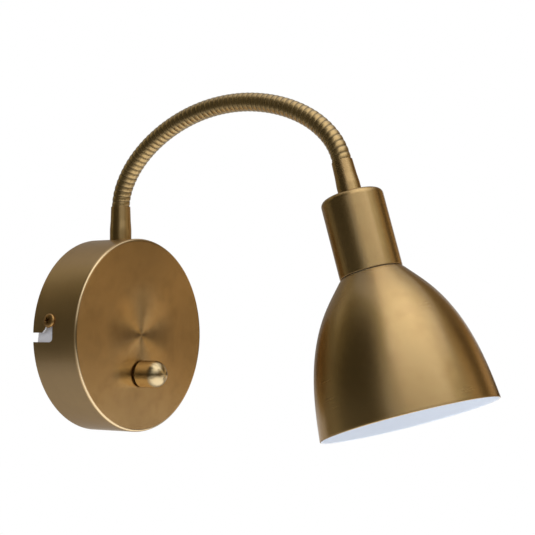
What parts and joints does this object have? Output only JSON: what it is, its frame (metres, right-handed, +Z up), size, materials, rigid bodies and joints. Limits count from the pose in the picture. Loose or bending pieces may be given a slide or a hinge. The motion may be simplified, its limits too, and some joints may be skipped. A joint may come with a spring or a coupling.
{
  "type": "bedside wall reading lamp",
  "caption": "Wall reading lamp: round canopy with a dimmer knob, bendable ribbed gooseneck and a bell shade over a small bulb.",
  "frame": {"origin": "on the wall plane, at the canopy's axis and midway between the two wall-screw slots", "axes": "+Z up, +Y into the wall along the canopy's axis, so the lamp stands out towards -Y; +X to the right for someone facing the wall"},
  "size_m": [0.1142, 0.2511, 0.1874],
  "materials": {
    "brushed_brass": "antique brass, circular brushed front, satin side, lacquered",
    "satin_brass": "antique brass, satin, lacquered; the shade is white enamelled inside",
    "hose_brass": "antique brass plated wound gooseneck, satin",
    "polished_brass": "antique brass, polished",
    "bare_brass": "plain turned brass",
    "zinc_steel": "bright zinc plated steel",
    "white_plastic": "white moulded plastic",
    "ivory_plastic": "off-white heat-resistant plastic",
    "black_plastic": "black moulded plastic",
    "ceramic": "glazed ceramic",
    "circuit_board": "green circuit board",
    "led_board": "white coated aluminium board",
    "opal_plastic": "opal diffusing plastic",
    "nickel": "nickel plated screw cap",
    "solder": "solder",
    "white_sheath": "white PVC sheath",
    "blue_core": "blue PVC insulation",
    "brown_core": "brown PVC insulation",
    "green_yellow_core": "green and yellow PVC insulation"
  },
  "bodies": {
    "wall_base": {"canopy_cover": "brushed_brass", "wall_plate": "zinc_steel", "canopy_screws": "polished_brass", "terminal_block": "white_plastic", "terminal_tubes": "bare_brass", "terminal_screws": "zinc_steel", "earth_tag": "bare_brass", "earth_screw": "zinc_steel", "dimmer_housing": "black_plastic", "dimmer_cover": "black_plastic", "dimmer_board": "circuit_board", "dimmer_bush": "bare_brass", "dimmer_washer": "zinc_steel", "dimmer_nut": "zinc_steel", "base_sleeve": "satin_brass", "base_washer": "zinc_steel", "base_lock_nut": "zinc_steel", "base_nipple": "zinc_steel", "hose_link_01": "hose_brass", "flex_lower": "white_sheath", "wire_neutral": "blue_core", "wire_earth": "green_yellow_core", "wire_switched": "brown_core", "wire_live": "brown_core"},
    "neck_02": {"hose_link_02": "hose_brass"},
    "neck_03": {"hose_link_03": "hose_brass"},
    "neck_04": {"hose_link_04": "hose_brass"},
    "neck_05": {"hose_link_05": "hose_brass"},
    "neck_06": {"hose_link_06": "hose_brass"},
    "neck_07": {"hose_link_07": "hose_brass"},
    "neck_08": {"hose_link_08": "hose_brass"},
    "neck_09": {"hose_link_09": "hose_brass"},
    "neck_10": {"hose_link_10": "hose_brass"},
    "neck_11": {"hose_link_11": "hose_brass"},
    "lamp_head": {"hose_link_12": "hose_brass", "head_sleeve": "satin_brass", "head_nipple": "zinc_steel", "head_lock_nut": "zinc_steel", "holder_cup": "satin_brass", "holder_body": "ivory_plastic", "holder_insert": "ceramic", "holder_contacts": "bare_brass", "screw_shell": "bare_brass", "shade_ring": "ivory_plastic", "lampshade": "satin_brass", "bulb_tip_contact": "solder", "bulb_cap": "nickel", "bulb_base": "white_plastic", "bulb_board": "led_board", "bulb_globe": "opal_plastic", "flex_upper": "white_sheath", "head_cores": "brown_core"},
    "switch_carrier": {"switch_slider": "white_plastic"},
    "knob": {"dimmer_shaft": "zinc_steel", "shaft_clip": "zinc_steel", "dimmer_knob": "polished_brass"}
  },
  "joints": [
    {"name": "lower_bend", "type": "hinge", "parent": "wall_base", "child": "neck_02", "pos_m": [0, -0.01947, 0.08725], "axis": [1, 0, 0], "range_deg": [-30, 6]},
    {"name": "lower_sway", "type": "hinge", "parent": "neck_02", "child": "neck_03", "pos_m": [0, -0.02874, 0.10004], "axis": [0, -0.7133, -0.7008], "range_deg": [-25, 25]},
    {"name": "lower_bend_2", "type": "hinge", "parent": "neck_03", "child": "neck_04", "pos_m": [0, -0.04092, 0.11013], "axis": [1, 0, 0], "range_deg": [-30, 6]},
    {"name": "lower_sway_2", "type": "hinge", "parent": "neck_04", "child": "neck_05", "pos_m": [0, -0.05477, 0.11781], "axis": [0, -0.4116, -0.9114], "range_deg": [-25, 25]},
    {"name": "crown_bend", "type": "hinge", "parent": "neck_05", "child": "neck_06", "pos_m": [0, -0.06965, 0.12322], "axis": [1, 0, 0], "range_deg": [-10, 4]},
    {"name": "crown_bend_2", "type": "hinge", "parent": "neck_06", "child": "neck_07", "pos_m": [0, -0.08518, 0.12634], "axis": [1, 0, 0], "range_deg": [-10, 4]},
    {"name": "crown_bend_3", "type": "hinge", "parent": "neck_07", "child": "neck_08", "pos_m": [0, -0.10099, 0.12713], "axis": [1, 0, 0], "range_deg": [-10, 4]},
    {"name": "upper_sway", "type": "hinge", "parent": "neck_08", "child": "neck_09", "pos_m": [0, -0.11675, 0.12559], "axis": [0, -0.1706, 0.9853], "range_deg": [-25, 25]},
    {"name": "upper_bend", "type": "hinge", "parent": "neck_09", "child": "neck_10", "pos_m": [0, -0.13209, 0.12166], "axis": [1, 0, 0], "range_deg": [-30, 6]},
    {"name": "upper_sway_2", "type": "hinge", "parent": "neck_10", "child": "neck_11", "pos_m": [0, -0.14648, 0.11508], "axis": [0, -0.5031, 0.8642], "range_deg": [-25, 25]},
    {"name": "upper_bend_2", "type": "hinge", "parent": "neck_11", "child": "lamp_head", "pos_m": [0, -0.15885, 0.10526], "axis": [1, 0, 0], "range_deg": [-30, 6]},
    {"name": "switch_push", "type": "slide", "parent": "wall_base", "child": "switch_carrier", "axis": [0, 1, 0], "range_m": [0, 0.0008], "stiffness_N_per_m": 2500},
    {"name": "knob_turn", "type": "hinge", "parent": "switch_carrier", "child": "knob", "pos_m": [0, -0.0325, -0.0222], "axis": [0, 1, 0], "range_deg": [0, 270]}
  ],
  "couplings": [
    {"joint": "lower_bend_2", "follows": "lower_bend", "ratio": 1},
    {"joint": "lower_sway_2", "follows": "lower_sway", "ratio": 1},
    {"joint": "crown_bend_2", "follows": "crown_bend", "ratio": 1},
    {"joint": "crown_bend_3", "follows": "crown_bend", "ratio": 1},
    {"joint": "upper_sway_2", "follows": "upper_sway", "ratio": 1},
    {"joint": "upper_bend_2", "follows": "upper_bend", "ratio": 1}
  ]
}
